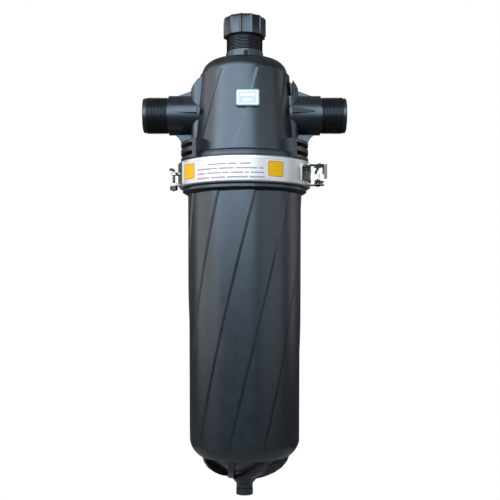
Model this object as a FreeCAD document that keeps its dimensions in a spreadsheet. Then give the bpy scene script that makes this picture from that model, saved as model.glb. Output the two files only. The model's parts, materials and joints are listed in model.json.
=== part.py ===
import FreeCAD, Part
import math
import os
import re
import Sketcher

# In-line disc filter: head with two side ports and a capped top port, long bowl, band clamp.
# +Z is up and the origin lies on the vertical axis at the foot of the drain plug.
# +X points out of the outlet port and -Y is the front.
# Lengths are in millimetres, and heights in the head and clamp are counted from the seam plane.

SIZES = {
    # Bowl
    "lip_height": 67.0,
    "bowl_length": 458.0,
    "bowl_top_radius": 94.3,
    "bowl_foot_radius": 90.5,
    "bowl_lip_radius": 76.0,
    "bowl_corner_radius": 38.0,
    "bowl_wall": 5.0,
    "bowl_ring_radius": 102.0,
    "bowl_panel_twist": 0.154,
    "bowl_panel_phase": -20.9,
    "bowl_phase_height": 290.6,
    "dome_rib_width": 9.0,
    "dome_rib_depth": 11.0,
    "dome_rib_offset": 28.0,
    "dome_rib_turn": -43.3,
    # Helical panels
    "panel_step": 1.4,
    "panel_riser": 4.5,
    # Drain
    "boss_radius": 13.6,
    "drain_thread_radius": 8.0,
    "drain_hex_radius": 15.9,
    "drain_hex_height": 9.5,
    "drain_seal_height": 1.6,
    # Flanges and seam
    "seat_gap": 0.3,
    "flange_bore": 87.0,
    "seal_groove_radius": 91.0,
    "seal_width": 4.0,
    "seal_depth": 4.0,
    # Head
    "neck_ring_radius": 96.0,
    "neck_ring_top": 33.0,
    "barrel_foot_radius": 86.5,
    "barrel_top_radius": 75.0,
    "barrel_top": 161.7,
    "head_wall": 6.0,
    "head_panel_twist": 0.216,
    "head_panel_phase": 14.8,
    "head_phase_height": 160.4,
    "dome_radius": 70.6,
    "dome_corner_height": 184.0,
    "dome_corner_radius": 25.0,
    "dome_top": 192.0,
    "neck_collar_radius": 30.8,
    "neck_collar_height": 10.1,
    "neck_top": 254.0,
    "neck_bore": 23.0,
    # Side ports
    "port_height": 100.0,
    "port_reach": 166.8,
    "thread_length": 42.2,
    "thread_root_radius": 28.33,
    "collar_radius": 32.1,
    "port_bore": 24.0,
    "saddle_reach": 87.5,
    "saddle_half_width": 30.0,
    "saddle_round": 14.0,
    "web_thickness": 5.0,
    "fin_depth": 41.0,
    "slot_width": 9.0,
    "slot_height": 45.0,
    # Ribbed lugs
    "lug_radius": 105.0,
    "lug_foot": 22.0,
    "lug_height": 30.0,
    "lug_angle": 86.0,
    "lug_slot_height": 6.5,
    "lug_slot_pitch": 13.4,
    "lug_slot_floor": 91.0,
    "lug_end_angle": 10.0,
    # Plate on the front of the head
    "pad_width": 38.2,
    "pad_height": 27.7,
    "pad_round": 4.0,
    "pad_thickness": 2.5,
    "pad_offset": 4.6,
    "pad_level": 112.5,
    "plate_margin": 1.6,
    "plate_thickness": 1.0,
    # Outlet tube inside the head
    "tube_bore": 28.0,
    "tube_wall": 4.0,
    "tube_drop": 12.0,
    # Top port cap
    "cap_radius": 35.4,
    "cap_foot": 219.5,
    "cap_height": 42.0,
    "cap_bore": 30.2,
    "cap_rim": 8.0,
    "cap_flat_depth": 1.6,
    "cap_flat_angle": 36.0,
    "cap_turn": -25.0,
    "gasket_height": 2.5,
    # Test point plug
    "test_plug_radius": 3.8,
    "test_plug_offset": 2.0,
    "test_plug_proud": 1.0,
    # Band clamp
    "band_radius": 108.3,
    "band_sheet": 1.2,
    "band_half_height": 20.7,
    "band_half_flat": 15.5,
    "band_fold": 8.3,
    "band_bend": 4.5,
    "band_gap_angle": 4.0,
    "weld_gap": 0.15,
    "strap_sheet": 1.2,
    "strap_half_height": 13.0,
    "rivet_radius": 2.0,
    "rivet_head_radius": 3.6,
    "rivet_head_height": 1.3,
    "rivet_angle": 26.0,
    "hinge_rivet_angle": 15.0,
    # Toggle latch
    "pivot_stand": 11.7,
    "pivot_y": -13.0,
    "pivot_radius": 2.5,
    "pivot_head": 4.0,
    "toggle_throw": 12.0,
    "toggle_over_centre": 1.0,
    "bail_length": 36.0,
    "bail_wire": 2.0,
    "bail_half_width": 9.0,
    "bail_bend": 3.5,
    "hook_half_width": 4.6,
    "hook_sheet": 2.0,
    "hook_lip": 3.2,
    "lever_sheet": 1.4,
    "lever_half_height": 14.1,
    "lever_back": 7.4,
    "lever_length": 45.0,
    "lever_window": 16.0,
    "base_half_height": 17.0,
    "base_sheet": 1.2,
    "base_stand": 21.7,
    "running_gap": 0.08,
    # Hinge
    "hinge_stand": 8.7,
    "hinge_pin_radius": 2.2,
    "hinge_ear_radius": 5.0,
    "hinge_ear_sheet": 2.0,
    "hinge_top": 6.3,
    "hinge_foot": -16.6,
    "nut_flats": 11.0,
    "nut_height": 6.5,
    # Disc cartridge
    "disc_radius": 64.0,
    "disc_bore": 45.0,
    "disc_pitch": 24.0,
    "stack_top": 30.0,
    "stack_length": 370.0,
    "spine_radius": 44.0,
    "spine_wall": 3.5,
    "end_plate": 9.0,
    "vane_reach": 83.0,
    "vane_height": 20.0,
    "vane_sheet": 2.5,
    "vane_angle": 35.0,
    "wing_nut_radius": 20.0,
}

BOWL_PANELS = 10
HEAD_PANELS = 8
DOME_RIBS = 8
CAP_FLATS = 6
VANES = 12

SEAM = "lip_height + bowl_length"
UP = FreeCAD.Vector(0, 0, 1)

doc = FreeCAD.newDocument("disc_filter")
sheet = doc.addObject("Spreadsheet::Sheet", "sizes")
parts = []


def fill_sheet():
    for row, (name, value) in enumerate(SIZES.items(), start=1):
        sheet.set(f"A{row}", name)
        sheet.set(f"B{row}", str(value))
        sheet.setAlias(f"B{row}", name)
    doc.recompute()


def size(name):
    """Number in the sheet's cell of that name."""
    return float(sheet.get(name))


def seam_height():
    return size("lip_height") + size("bowl_length")


def formula(text):
    """Expression on the sheet: each bare word is a cell's name."""
    return re.sub(r"[a-z]\w*", lambda word: "sizes." + word.group(0), text)


def bind(thing, **texts):
    for name, text in texts.items():
        thing.setExpression(name, formula(text))


def place(thing, x="0", y="0", z="0", turn=0.0, axis=UP):
    """Put a piece at a place given by the sheet, turned about an axis by degrees."""
    thing.Placement = FreeCAD.Placement(FreeCAD.Vector(), FreeCAD.Rotation(axis, turn))
    for name, text in (("x", x), ("y", y), ("z", z)):
        thing.setExpression("Placement.Base." + name, formula(text))
    return thing


def finish(thing, label):
    """Name a finished sub-part and keep it for the hand-over."""
    thing.Label = label
    parts.append(thing)


# Sketches and bodies


def start_corner(index, total):
    """A starting place for a sketch corner, before its dimensions move it."""
    angle = 2 * math.pi * index / total
    return FreeCAD.Vector(50 + 10 * math.cos(angle), 10 * math.sin(angle), 0)


def fix(sketch, kind, line, text):
    """Dimension the start of a line from the sketch's origin."""
    if text == "0":
        axis = -2 if kind == "DistanceX" else -1
        sketch.addConstraint(Sketcher.Constraint("PointOnObject", line, 1, axis))
        return
    number = sketch.addConstraint(Sketcher.Constraint(kind, -1, 1, line, 1, 1.0))
    sketch.setExpression(f"Constraints[{number}]", formula(text))


def draw(sketch, corners):
    """Closed outline through corners given as pairs of formulas."""
    first = sketch.GeometryCount
    total = len(corners)
    for index in range(total):
        line = Part.LineSegment(start_corner(index, total), start_corner(index + 1, total))
        sketch.addGeometry(line, False)
    for index in range(total):
        following = first + (index + 1) % total
        sketch.addConstraint(Sketcher.Constraint("Coincident", first + index, 2, following, 1))
    for index, (across, up) in enumerate(corners):
        fix(sketch, "DistanceX", first + index, across)
        fix(sketch, "DistanceY", first + index, up)


def sketch_on(body, name, role, *outlines):
    plane = next(item for item in body.Origin.OriginFeatures if item.Role == role)
    sketch = body.newObject("Sketcher::SketchObject", name + "_sketch")
    sketch.AttachmentSupport = [(plane, "")]
    sketch.MapMode = "FlatFace"
    for corners in outlines:
        draw(sketch, corners)
    return sketch


def turned(name, corners, angle=None, about="V_Axis"):
    """Body revolved from a half section, whole or as a segment centred on +X."""
    body = doc.addObject("PartDesign::Body", name)
    sketch = sketch_on(body, name, "XZ_Plane", corners)
    feature = body.newObject("PartDesign::Revolution", name + "_turn")
    feature.Profile = sketch
    feature.ReferenceAxis = (sketch, [about])
    if angle:
        feature.Midplane = True
        bind(feature, Angle=angle)
    return body


def plate(name, corners, thickness, role="XY_Plane"):
    """Body padded both ways from a plane, out of one outline."""
    body = doc.addObject("PartDesign::Body", name)
    sketch = sketch_on(body, name, role, corners)
    feature = body.newObject("PartDesign::Pad", name + "_pad")
    feature.Profile = sketch
    feature.Midplane = True
    bind(feature, Length=thickness)
    return body


def rounded(body, radius, wanted):
    """Fillet the edges of a body that a test picks."""
    doc.recompute()
    base = body.Tip
    edges = base.Shape.Edges
    names = [f"Edge{number}" for number, edge in enumerate(edges, start=1) if wanted(edge)]
    feature = body.newObject("PartDesign::Fillet", body.Name + "_round")
    feature.Base = (base, names)
    bind(feature, Radius=radius)
    return body


def is_ring(edge, radius, height):
    """Whether an edge is a circle of that radius about the vertical axis at that height."""
    curve = edge.Curve
    if curve.TypeId != "Part::GeomCircle":
        return False
    return abs(curve.Radius - radius) < 0.01 and abs(curve.Center.z - height) < 0.01


def is_upright(edge, reach=0.0):
    """Whether an edge is a straight upright line at least so far out from the axis."""
    low, high = edge.Vertexes[0].Point, edge.Vertexes[-1].Point
    return abs(low.x - high.x) < 0.01 and abs(low.y - high.y) < 0.01 and abs(low.x) > reach


# Primitives and booleans


def cylinder(name, radius, height, x="0", y="0", z="0", turn=0.0, axis=UP):
    thing = doc.addObject("Part::Cylinder", name)
    bind(thing, Radius=radius, Height=height)
    return place(thing, x, y, z, turn, axis)


def box(name, length, width, height, x, y, z, turn=0.0, axis=UP):
    thing = doc.addObject("Part::Box", name)
    bind(thing, Length=length, Width=width, Height=height)
    return place(thing, x, y, z, turn, axis)


def joined(name, *things):
    result = doc.addObject("Part::MultiFuse", name)
    result.Shapes = list(things)
    return result


def cut(name, base, *tools):
    result = doc.addObject("Part::Cut", name)
    result.Base = base
    result.Tool = tools[0] if len(tools) == 1 else joined(name + "_tools", *tools)
    return result


def common(name, first, second):
    result = doc.addObject("Part::Common", name)
    result.Base = first
    result.Tool = second
    return result


def mirrored(name, source, normal):
    result = doc.addObject("Part::Mirroring", name)
    result.Source = source
    result.Normal = normal
    return result


def solid(name, shape):
    """Piece whose shape comes from the part's own functions."""
    thing = doc.addObject("Part::Feature", name)
    thing.Shape = shape
    return thing


def ring(name, inner, outer, low, high):
    """Plain ring between two radii and two heights."""
    return turned(name, [(inner, low), (outer, low), (outer, high), (inner, high)])


# Helical panels


def panel_section(radius, step, riser, count, turn, height, rising):
    """Saw-tooth ring: panels that drift by one step and soft risers between them."""
    def point(distance, degrees):
        angle = math.radians(degrees)
        return FreeCAD.Vector(distance * math.sin(angle), -distance * math.cos(angle), height)

    pitch = 360.0 / count
    half_riser = math.degrees(riser / radius) / 2
    begin = radius if rising else radius - step
    end = radius - step if rising else radius
    edges = []
    for index in range(count):
        start = turn + index * pitch + half_riser
        stop = turn + (index + 1) * pitch - half_riser
        middle = point((begin + end) / 2, (start + stop) / 2)
        edges.append(Part.Arc(point(begin, start), middle, point(end, stop)).toShape())
        edges.append(Part.makeLine(point(end, stop), point(begin, stop + 2 * half_riser)))
    return Part.Wire(edges)


def panelled(count, low, high, low_radius, high_radius, twist, phase, phase_height, rising):
    """Loft through turned saw-tooth rings, from one height to another."""
    slices = 6
    sections = []
    for index in range(slices + 1):
        share = index / slices
        height = low + share * (high - low)
        radius = low_radius + share * (high_radius - low_radius)
        turn = phase + twist * (height - phase_height)
        step, riser = size("panel_step"), size("panel_riser")
        sections.append(panel_section(radius, step, riser, count, turn, height, rising))
    return Part.makeLoft(sections, True, False)


# Bowl


def bowl_radius(height):
    """Crest radius of the bowl's panels at a height, on their straight taper."""
    foot = size("lip_height") + 35
    share = (height - foot) / (seam_height() - 31 - foot)
    return size("bowl_foot_radius") + share * (size("bowl_top_radius") - size("bowl_foot_radius"))


def bowl_panels():
    low = size("lip_height") - 5
    high = seam_height() - 28
    shape = panelled(
        BOWL_PANELS, low, high, bowl_radius(low), bowl_radius(high),
        size("bowl_panel_twist"), size("bowl_panel_phase"), size("bowl_phase_height"), False)
    envelope = turned("bowl_envelope", [
        ("0", "lip_height"),
        ("bowl_lip_radius", "lip_height"),
        ("bowl_foot_radius + 0.7", "lip_height + 0.17 * bowl_lip_radius"),
        ("bowl_foot_radius + 0.7", "lip_height + 45"),
        ("bowl_top_radius + 6", "lip_height + 60"),
        ("bowl_top_radius + 6", SEAM),
        ("0", SEAM)])
    corner = size("bowl_foot_radius") + 0.7
    height = size("lip_height") + 0.17 * size("bowl_lip_radius")
    rounded(envelope, "bowl_corner_radius", lambda edge: is_ring(edge, corner, height))
    return common("bowl_shell", solid("bowl_panels", shape), envelope)


def bowl_dome_ribs():
    """Ribs under the bowl, each running out from the boss at a tangent."""
    envelope = turned("dome_envelope", [
        ("0", "boss_radius + 8"),
        ("boss_radius + 6", "lip_height - 40.5"),
        ("bowl_lip_radius - 36.3", "lip_height - 34"),
        ("bowl_lip_radius - 23", "lip_height - 27.5"),
        ("bowl_lip_radius - 12", "lip_height - 19.5"),
        ("bowl_lip_radius - 4", "lip_height - 9"),
        ("bowl_lip_radius - 0.5", "lip_height + 1"),
        ("0", "lip_height + 1")])
    ribs = []
    for index in range(DOME_RIBS):
        turn = size("dome_rib_turn") + index * 360.0 / DOME_RIBS
        rib = box(f"dome_rib_{index + 1}", "bowl_lip_radius + 5", "dome_rib_width",
                  "lip_height", "0", "-dome_rib_offset", "0")
        carrier = doc.addObject("Part::Compound", f"dome_rib_{index + 1}_turned")
        carrier.Links = [rib]
        place(carrier, turn=turn)
        ribs.append(carrier)
    return common("dome_ribs", joined("dome_rib_set", *ribs), envelope)


def build_bowl():
    body = turned("bowl_core", [
        ("0", "drain_hex_height + drain_seal_height"),
        ("boss_radius - 1", "drain_hex_height + drain_seal_height"),
        ("boss_radius", "drain_hex_height + drain_seal_height + 1"),
        ("boss_radius", "drain_hex_height + drain_seal_height + 7"),
        ("boss_radius + 3.5", "drain_hex_height + drain_seal_height + 11"),
        ("boss_radius + 8.4", "lip_height - 38"),
        ("bowl_lip_radius - 40", "lip_height - 34 + dome_rib_depth"),
        ("bowl_lip_radius - 18", "lip_height - 20 + dome_rib_depth"),
        ("bowl_lip_radius - 4", "lip_height - 6 + dome_rib_depth"),
        ("bowl_foot_radius - panel_step - 1", "lip_height + 45"),
        ("bowl_top_radius - panel_step - 1", SEAM + " - 34"),
        ("bowl_top_radius + 0.5", SEAM + " - 32"),
        ("bowl_ring_radius", SEAM + " - band_half_height - 7"),
        ("bowl_ring_radius", SEAM + " - band_half_height - 3"),
        ("bowl_ring_radius - 2", SEAM + " - band_half_height - 1.5"),
        ("band_radius - band_fold - 1.5", SEAM + " - band_half_height - 1.5"),
        ("band_radius - band_fold - 1.5", SEAM + " - band_half_height + 0.6 * band_sheet"),
        ("band_radius - band_sheet - seat_gap", SEAM + " - band_half_flat + 0.6 * band_sheet"),
        ("band_radius - band_sheet - seat_gap", SEAM + " - 0.05"),
        ("0", SEAM + " - 0.05")])
    cavity = turned("bowl_cavity", [
        ("0", "lip_height - 30"),
        ("drain_thread_radius + 2", "lip_height - 30"),
        ("bowl_lip_radius - 20", "lip_height - 2"),
        ("bowl_foot_radius - 12", "lip_height + 17"),
        ("bowl_foot_radius - panel_step - bowl_wall", "lip_height + 38"),
        ("flange_bore", SEAM + " - 34"),
        ("flange_bore", SEAM + " + 5"),
        ("0", SEAM + " + 5")])
    groove = ring("bowl_seal_groove", "seal_groove_radius", "seal_groove_radius + seal_width",
                  SEAM + " - seal_depth - 0.05", SEAM + " + 1")
    drain = cylinder("bowl_drain_hole", "drain_thread_radius", "lip_height")
    outside = joined("bowl_outside", body, bowl_panels(), bowl_dome_ribs())
    finish(cut("bowl", outside, cavity, groove, drain), "filter_bowl")


def build_drain():
    hexagon = doc.addObject("Part::Prism", "drain_hex")
    hexagon.Polygon = 6
    bind(hexagon, Circumradius="drain_hex_radius", Height="drain_hex_height")
    place(hexagon, turn=30.0)
    trim = turned("drain_hex_trim", [
        ("0", "0"),
        ("drain_hex_radius - 2.2", "0"),
        ("drain_hex_radius", "1.6"),
        ("drain_hex_radius", "drain_hex_height * 0.45"),
        ("drain_hex_radius - 1.4", "drain_hex_height * 0.5"),
        ("drain_hex_radius - 1.4", "drain_hex_height * 0.56"),
        ("drain_hex_radius", "drain_hex_height * 0.62"),
        ("drain_hex_radius", "drain_hex_height - 0.8"),
        ("drain_hex_radius - 1", "drain_hex_height"),
        ("0", "drain_hex_height")])
    shank = cylinder("drain_shank", "drain_thread_radius - running_gap",
                     "drain_hex_height + 18", z="1")
    finish(joined("drain", common("drain_head", hexagon, trim), shank), "drain_plug")
    seal = ring("drain_seal", "drain_thread_radius", "boss_radius - 1.5",
                "drain_hex_height", "drain_hex_height + drain_seal_height")
    finish(seal, "drain_plug_seal")


# Head


def barrel_radius(level):
    """Crest radius of the head's panels at a level above the seam."""
    share = (level - size("neck_ring_top")) / (size("barrel_top") - size("neck_ring_top"))
    return size("barrel_foot_radius") + share * (
        size("barrel_top_radius") - size("barrel_foot_radius"))


def barrel_lean():
    """Degrees by which the barrel's side leans in."""
    rise = size("barrel_top") - size("neck_ring_top")
    return math.degrees(math.atan((size("barrel_foot_radius") - size("barrel_top_radius")) / rise))


def head_core():
    body = turned("head_core", [
        ("0", "0"),
        ("band_radius - band_sheet - seat_gap", "0"),
        ("band_radius - band_sheet - seat_gap", "band_half_flat - 0.6 * band_sheet"),
        ("band_radius - band_fold - 1.5", "band_half_height - 0.6 * band_sheet"),
        ("band_radius - band_fold - 1.5", "band_half_height + 1"),
        ("neck_ring_radius", "band_half_height + 2.5"),
        ("neck_ring_radius", "neck_ring_top - 5"),
        ("neck_ring_radius - 1.5", "neck_ring_top - 4"),
        ("neck_ring_radius - 1.5", "neck_ring_top - 3"),
        ("neck_ring_radius - 0.8", "neck_ring_top - 2"),
        ("neck_ring_radius - 3", "neck_ring_top"),
        ("barrel_foot_radius - panel_step - 1", "neck_ring_top"),
        ("barrel_top_radius - panel_step - 1", "barrel_top"),
        ("dome_radius", "barrel_top"),
        ("dome_radius", "dome_corner_height"),
        ("neck_collar_radius", "dome_top"),
        ("neck_collar_radius", "dome_top + neck_collar_height"),
        ("thread_root_radius", "dome_top + neck_collar_height"),
        ("thread_root_radius", "neck_top"),
        ("0", "neck_top")])
    radius, height = size("dome_radius"), size("dome_corner_height")
    return rounded(body, "dome_corner_radius", lambda edge: is_ring(edge, radius, height))


def head_panels():
    low = size("neck_ring_top") - 2
    high = size("barrel_top") + 1
    shape = panelled(
        HEAD_PANELS, low, high, barrel_radius(low), barrel_radius(high),
        size("head_panel_twist"), size("head_panel_phase"), size("head_phase_height"), True)
    return solid("head_panels", shape)


def side_shoulder():
    """Saddle, webs, fins and ribbed lug of the outlet side."""
    side = plate("saddle_side", [
        ("barrel_top_radius - 20", "lug_foot + 4"),
        ("saddle_reach - 2", "lug_foot + 4"),
        ("saddle_reach", "port_height - 40"),
        ("saddle_reach", "barrel_top - 22"),
        ("saddle_reach - 5", "barrel_top - 14.5"),
        ("dome_radius + 6", "barrel_top - 7.7"),
        ("dome_radius - 2", "barrel_top - 3"),
        ("barrel_top_radius - 20", "barrel_top - 3")], "saddle_half_width * 2", "XZ_Plane")
    plan = plate("saddle_plan", [
        ("barrel_top_radius - 21", "-saddle_half_width"),
        ("saddle_reach", "-saddle_half_width"),
        ("saddle_reach", "saddle_half_width"),
        ("barrel_top_radius - 21", "saddle_half_width")], "barrel_top * 3")
    reach = size("saddle_reach")
    rounded(plan, "saddle_round", lambda edge: is_upright(edge, reach - 1))
    saddle = common("saddle", side, plan)
    web = plate("port_webs", [
        ("barrel_top_radius", "port_height"),
        ("barrel_top_radius", "lug_foot + 10"),
        ("lug_radius - 1", "lug_foot + 10"),
        ("lug_radius - 1", "lug_foot + lug_height"),
        ("lug_radius + 1.5", "port_height - collar_radius - 9"),
        ("lug_radius + 5", "port_height - collar_radius - 3.5"),
        ("lug_radius + 11", "port_height - collar_radius + 1"),
        ("lug_radius + 11", "port_height"),
        ("port_reach - thread_length - 7", "port_height + collar_radius - 1"),
        ("port_reach - thread_length - 15", "port_height + collar_radius + 0.5"),
        ("saddle_reach", "barrel_top - 21"),
        ("barrel_top_radius", "barrel_top - 10")], "web_thickness", "XZ_Plane")
    fin = common("port_fins", plate("fin_wedge", [
        ("barrel_top_radius - 16", "port_height - 2.5"),
        ("saddle_reach - 9", "port_height - 2"),
        ("port_reach - thread_length - 9", "port_height + 0.5"),
        ("port_reach - thread_length - 9", "port_height + 2.5"),
        ("saddle_reach - 9", "port_height + 7"),
        ("barrel_top_radius - 16", "port_height + 7")], "fin_depth * 2", "XZ_Plane"),
        plate("fin_plan", [
            ("barrel_top_radius - 15", "-saddle_half_width + 3"),
            ("saddle_reach - 10.5", "-saddle_half_width + 3"),
            ("saddle_reach - 10", "-fin_depth"),
            ("port_reach - thread_length - 10", "-collar_radius - 0.5"),
            ("port_reach - thread_length - 10", "collar_radius + 0.5"),
            ("saddle_reach - 10", "fin_depth"),
            ("saddle_reach - 10.5", "saddle_half_width - 3"),
            ("barrel_top_radius - 15", "saddle_half_width - 3")], "port_height * 3"))
    lug = turned("lug", [
        ("barrel_foot_radius - 6", "lug_foot"),
        ("lug_radius", "lug_foot"),
        ("lug_radius", "lug_foot + lug_height"),
        ("barrel_foot_radius - 6", "lug_foot + lug_height")], "lug_angle")
    slots = []
    for index, side in enumerate(("-", "+"), start=1):
        middle = f"lug_foot + lug_height / 2 {side} lug_slot_pitch / 2"
        slots.append(turned(f"lug_slot_{index}", [
            ("lug_slot_floor", middle + " - lug_slot_height / 2"),
            ("lug_radius + 5", middle + " - lug_slot_height / 2"),
            ("lug_radius + 5", middle + " + lug_slot_height / 2"),
            ("lug_slot_floor", middle + " + lug_slot_height / 2")], "lug_angle - lug_end_angle"))
    slotted = cut("lug_slotted", lug, *slots)
    return joined("outlet_shoulder", saddle, web, fin, slotted)


def side_ports():
    return turned("port_barrels", [
        ("-port_reach", "0"),
        ("-port_reach", "thread_root_radius - 1.2"),
        ("-port_reach + 1.2", "thread_root_radius"),
        ("-port_reach + thread_length", "thread_root_radius"),
        ("-port_reach + thread_length", "collar_radius"),
        ("port_reach - thread_length", "collar_radius"),
        ("port_reach - thread_length", "thread_root_radius"),
        ("port_reach - 1.2", "thread_root_radius"),
        ("port_reach", "thread_root_radius - 1.2"),
        ("port_reach", "0")], about="H_Axis")


def pad_block(name, margin, low, high):
    """Rounded block that stands on the barrel's leaning front, facing forwards."""
    wide = f"pad_width / 2 - {margin}"
    tall = f"pad_height / 2 - {margin}"
    body = doc.addObject("PartDesign::Body", name)
    sketch = sketch_on(body, name, "XZ_Plane", [
        ("-(" + wide + ")", "-(" + tall + ")"), (wide, "-(" + tall + ")"),
        (wide, tall), ("-(" + wide + ")", tall)])
    bind(sketch, **{"AttachmentOffset.Base.z": low})
    feature = body.newObject("PartDesign::Pad", name + "_pad")
    feature.Profile = sketch
    bind(feature, Length=f"{high} - ({low})")
    rounded(body, f"pad_round - {margin}", lambda edge: abs(edge.tangentAt(0).y) > 0.99)
    radius = barrel_radius(size("pad_level"))
    body.Placement = FreeCAD.Placement(
        FreeCAD.Vector(size("pad_offset"), -radius, size("pad_level")),
        FreeCAD.Rotation(FreeCAD.Vector(1, 0, 0), -barrel_lean()))
    return body


def outlet_tube():
    """Tube that takes the filtered water from the cartridge up and out to the outlet."""
    upright = cylinder("tube_upright", "tube_bore + tube_wall", "port_height + tube_drop",
                       z="-tube_drop")
    elbow = doc.addObject("Part::Sphere", "tube_elbow")
    bind(elbow, Radius="tube_bore + tube_wall")
    place(elbow, z="port_height")
    level = cylinder("tube_level", "port_bore + tube_wall", "barrel_foot_radius - 8",
                     z="port_height", turn=90.0, axis=FreeCAD.Vector(0, 1, 0))
    return joined("outlet_tube", upright, elbow, level)


def build_head():
    ports = place(side_ports(), z="port_height")
    outlet_side = side_shoulder()
    inlet_side = mirrored("inlet_shoulder", outlet_side, FreeCAD.Vector(1, 0, 0))
    slot = box("shoulder_slot", "slot_width", "saddle_half_width + 4", "slot_height",
               "dome_radius - 1.6", "-saddle_half_width - 8", "barrel_top + 10 - slot_height")
    pad = pad_block("head_pad", "0", "-6", "pad_thickness")
    outside = joined("head_outside", head_core(), head_panels(), ports,
                     cut("outlet_shoulder_slotted", outlet_side, slot), inlet_side, pad)
    cavity = turned("head_cavity", [
        ("0", "-1"),
        ("flange_bore - 3", "-1"),
        ("flange_bore - 3", "band_half_height / 2"),
        ("barrel_foot_radius - panel_step - head_wall", "neck_ring_top - 3"),
        ("barrel_top_radius - panel_step - head_wall", "barrel_top - 3"),
        ("barrel_top_radius - 20", "dome_corner_height - 5.5"),
        ("neck_bore", "dome_top - 6"),
        ("neck_bore", "neck_top + 1"),
        ("0", "neck_top + 1")])
    with_tube = joined("head_with_tube", cut("head_hollow", outside, cavity), outlet_tube())
    sideways = FreeCAD.Vector(0, 1, 0)
    bores = [
        cylinder("inlet_bore", "port_bore", "port_reach - 50", z="port_height",
                 x="-port_reach - 1", turn=90.0, axis=sideways),
        cylinder("outlet_bore", "port_bore", "port_reach + 1", z="port_height",
                 turn=90.0, axis=sideways),
        cylinder("tube_hole", "tube_bore", "port_height + tube_drop + 5", z="-tube_drop - 5"),
        cylinder("test_hole", "test_plug_radius - 0.6", "neck_collar_radius - neck_bore + 3",
                 x="test_plug_offset", y="-neck_bore + 2", z="dome_top + neck_collar_height / 2",
                 turn=90.0, axis=FreeCAD.Vector(1, 0, 0))]
    elbow = doc.addObject("Part::Sphere", "tube_elbow_hole")
    bind(elbow, Radius="tube_bore")
    bores.append(place(elbow, z="port_height"))
    finish(place(cut("head", with_tube, *bores), z=SEAM), "filter_head")


def build_head_fittings():
    plate_body = pad_block("plate", "plate_margin", "pad_thickness",
                           "pad_thickness + plate_thickness")
    lifted = doc.addObject("Part::Compound", "plate_lifted")
    lifted.Links = [plate_body]
    finish(place(lifted, z=SEAM), "head_plate")
    plug = turned("test_plug", [
        ("0", "0"),
        ("test_plug_radius - 0.6 - running_gap", "0"),
        ("test_plug_radius - 0.6 - running_gap", "neck_collar_radius - neck_bore + 0.3"),
        ("test_plug_radius", "neck_collar_radius - neck_bore + 0.3"),
        ("test_plug_radius", "neck_collar_radius - neck_bore + 0.3 + test_plug_proud"),
        ("test_plug_radius - 1.2", "neck_collar_radius - neck_bore + 0.8 + test_plug_proud"),
        ("test_plug_radius - 2", "neck_collar_radius - neck_bore - 0.5 + test_plug_proud"),
        ("0", "neck_collar_radius - neck_bore - 0.5 + test_plug_proud")])
    place(plug, "test_plug_offset", "-neck_bore", SEAM + " + dome_top + neck_collar_height / 2",
          90.0, FreeCAD.Vector(1, 0, 0))
    finish(plug, "test_point_plug")


def build_cap():
    body = turned("cap_body", [
        ("0", "0"),
        ("cap_bore + 1.2", "0"),
        ("cap_radius + 0.5", "cap_rim - 1"),
        ("cap_radius + 0.5", "cap_rim - 0.2"),
        ("cap_radius", "cap_rim + 0.3"),
        ("cap_radius - 0.8", "cap_height - 3.5"),
        ("cap_radius - 3", "cap_height - 0.8"),
        ("cap_radius - 6", "cap_height"),
        ("0", "cap_height")])
    flats = []
    for index in range(CAP_FLATS):
        flat = box(f"cap_flat_{index + 1}", "10", "cap_radius * cap_flat_angle / 57.3",
                   "cap_height - cap_rim + 1", "cap_radius - cap_flat_depth",
                   "-cap_radius * cap_flat_angle / 114.6", "cap_rim")
        carrier = doc.addObject("Part::Compound", f"cap_flat_{index + 1}_turned")
        carrier.Links = [flat]
        turn = -90.0 + size("cap_turn") + index * 360.0 / CAP_FLATS
        flats.append(place(carrier, turn=turn))
    hollow = cylinder("cap_hollow", "cap_bore", "neck_top + gasket_height - cap_foot + 1", z="-1")
    cap = cut("cap", body, hollow, *flats)
    finish(place(cap, z=SEAM + " + cap_foot"), "port_cap")
    gasket = ring("cap_gasket", "neck_bore", "cap_bore - 0.4", "0", "gasket_height")
    finish(place(gasket, z=SEAM + " + neck_top"), "port_cap_gasket")


# Band clamp


def band_clearance(name):
    """Everything inside the clamp's outer face, to be cut from what is welded to it."""
    return cylinder(name, "band_radius + weld_gap", "band_half_height * 3",
                    z="-band_half_height * 1.5")


def rivet_hole(name, turn):
    """Radial hole through strap and band at an angle from +X."""
    hole = cylinder(name + "_drill", "rivet_radius", "30", x="band_radius - 12",
                    turn=90.0, axis=FreeCAD.Vector(0, 1, 0))
    carrier = doc.addObject("Part::Compound", name)
    carrier.Links = [hole]
    return place(carrier, turn=turn)


def build_bands():
    latch_turn, hinge_turn = size("rivet_angle"), 180 - size("hinge_rivet_angle")
    for name, side in (("clamp_band_front", -1), ("clamp_band_rear", 1)):
        band = turned(name + "_sheet", [
            ("band_radius", "-band_half_flat"),
            ("band_radius", "band_half_flat"),
            ("band_radius - band_fold", "band_half_height"),
            ("band_radius - band_fold", "band_half_height - 1.24 * band_sheet"),
            ("band_radius - band_sheet", "band_half_flat - 0.5 * band_sheet"),
            ("band_radius - band_sheet", "-band_half_flat + 0.5 * band_sheet"),
            ("band_radius - band_fold", "-band_half_height + 1.24 * band_sheet"),
            ("band_radius - band_fold", "-band_half_height")], "180 - band_gap_angle")
        outer, level = size("band_radius"), size("band_half_flat")
        rounded(band, "band_bend",
                lambda edge: is_ring(edge, outer, level) or is_ring(edge, outer, -level))
        place(band, turn=90.0 * side)
        holes = [rivet_hole(f"{name}_hole_{index}", side * turn)
                 for index, turn in enumerate((latch_turn, hinge_turn), start=1)]
        finish(place(cut(name + "_cut", band, *holes), z=SEAM), name)


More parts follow.
